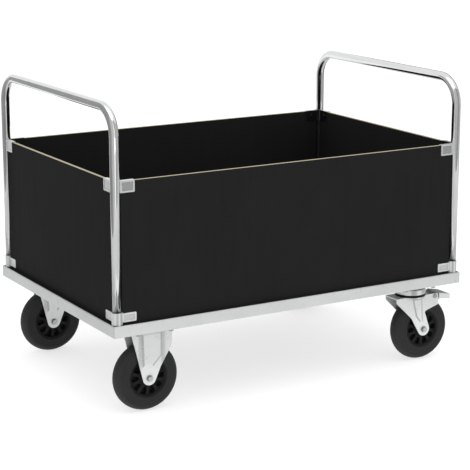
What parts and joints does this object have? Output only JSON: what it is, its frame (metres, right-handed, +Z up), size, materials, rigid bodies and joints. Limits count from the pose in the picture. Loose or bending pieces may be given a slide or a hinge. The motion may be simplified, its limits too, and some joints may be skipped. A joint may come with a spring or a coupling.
{
  "type": "platform trolley",
  "caption": "Flat platform trolley with an open box of black boards, a U-shaped tube hand bar at each end, fixed wheels and braked swivel castors.",
  "frame": {"origin": "on the floor under the middle of the deck", "axes": "+X along the deck towards the braked swivel castors, +Y across the deck, +Z up"},
  "size_m": [1.2, 0.8, 0.8975],
  "materials": {
    "zinc_frame": "bright zinc plated, satin",
    "zinc_castor": "bright zinc plated, pressed sheet",
    "chromed_tube": "bright plated tube",
    "black_board": "black film on plywood, raw beige edges",
    "tyre_rubber": "solid dark grey rubber, satin",
    "black_plastic": "moulded, matt",
    "steel_hardware": "zinc plated hardware"
  },
  "bodies": {
    "chassis": {"bracket_screws": "steel_hardware", "castor_bolts": "steel_hardware", "castor_nuts": "steel_hardware", "cross_beam_1": "zinc_frame", "cross_beam_2": "zinc_frame", "cross_beam_3": "zinc_frame", "cross_beam_4": "zinc_frame", "cross_beam_5": "zinc_frame", "deck_board": "black_board", "deck_screws": "steel_hardware", "end_board_left": "black_board", "end_board_right": "black_board", "fixed_axle_front": "steel_hardware", "fixed_axle_rear": "steel_hardware", "fixed_fork_front": "zinc_castor", "fixed_fork_rear": "zinc_castor", "frame_rail_front": "zinc_frame", "frame_rail_left": "zinc_frame", "frame_rail_rear": "zinc_frame", "frame_rail_right": "zinc_frame", "hand_bar_left": "chromed_tube", "hand_bar_right": "chromed_tube", "lower_bracket_front_left": "zinc_frame", "lower_bracket_front_right": "zinc_frame", "lower_bracket_rear_left": "zinc_frame", "lower_bracket_rear_right": "zinc_frame", "side_board_front": "black_board", "side_board_rear": "black_board", "swivel_balls_front": "steel_hardware", "swivel_balls_rear": "steel_hardware", "swivel_kingpin_front": "steel_hardware", "swivel_kingpin_rear": "steel_hardware", "swivel_plate_front": "zinc_castor", "swivel_plate_rear": "zinc_castor", "upper_bracket_front_left": "zinc_frame", "upper_bracket_front_right": "zinc_frame", "upper_bracket_rear_left": "zinc_frame", "upper_bracket_rear_right": "zinc_frame"},
    "wheel_fixed_front": {"fixed_tyre_front": "tyre_rubber", "fixed_rim_front": "black_plastic", "fixed_bearing_front": "steel_hardware"},
    "swivel_front": {"swivel_fork_front": "zinc_castor", "swivel_axle_front": "steel_hardware", "brake_pivot_front": "steel_hardware"},
    "wheel_swivel_front": {"swivel_tyre_front": "tyre_rubber", "swivel_rim_front": "black_plastic", "swivel_bearing_front": "steel_hardware"},
    "pedal_front": {"brake_pedal_front": "zinc_castor"},
    "wheel_fixed_rear": {"fixed_tyre_rear": "tyre_rubber", "fixed_rim_rear": "black_plastic", "fixed_bearing_rear": "steel_hardware"},
    "swivel_rear": {"swivel_fork_rear": "zinc_castor", "swivel_axle_rear": "steel_hardware", "brake_pivot_rear": "steel_hardware"},
    "wheel_swivel_rear": {"swivel_tyre_rear": "tyre_rubber", "swivel_rim_rear": "black_plastic", "swivel_bearing_rear": "steel_hardware"},
    "pedal_rear": {"brake_pedal_rear": "zinc_castor"}
  },
  "joints": [
    {"name": "fixed_wheel_front_spin", "type": "hinge", "parent": "chassis", "child": "wheel_fixed_front", "pos_m": [-0.471, -0.33, 0.1], "axis": [0, 1, 0], "continuous": true},
    {"name": "castor_front_swivel", "type": "hinge", "parent": "chassis", "child": "swivel_front", "pos_m": [0.461, -0.33, 0.21], "axis": [0, 0, 1], "continuous": true},
    {"name": "swivel_wheel_front_spin", "type": "hinge", "parent": "swivel_front", "child": "wheel_swivel_front", "pos_m": [0.494, -0.33, 0.1], "axis": [0, 1, 0], "continuous": true},
    {"name": "brake_front_press", "type": "hinge", "parent": "swivel_front", "child": "pedal_front", "pos_m": [0.535, -0.33, 0.202], "axis": [0, 1, 0], "range_deg": [0, 12]},
    {"name": "fixed_wheel_rear_spin", "type": "hinge", "parent": "chassis", "child": "wheel_fixed_rear", "pos_m": [-0.471, 0.33, 0.1], "axis": [0, 1, 0], "continuous": true},
    {"name": "castor_rear_swivel", "type": "hinge", "parent": "chassis", "child": "swivel_rear", "pos_m": [0.461, 0.33, 0.21], "axis": [0, 0, 1], "continuous": true},
    {"name": "swivel_wheel_rear_spin", "type": "hinge", "parent": "swivel_rear", "child": "wheel_swivel_rear", "pos_m": [0.494, 0.33, 0.1], "axis": [0, 1, 0], "continuous": true},
    {"name": "brake_rear_press", "type": "hinge", "parent": "swivel_rear", "child": "pedal_rear", "pos_m": [0.535, 0.33, 0.202], "axis": [0, 1, 0], "range_deg": [0, 12]}
  ]
}
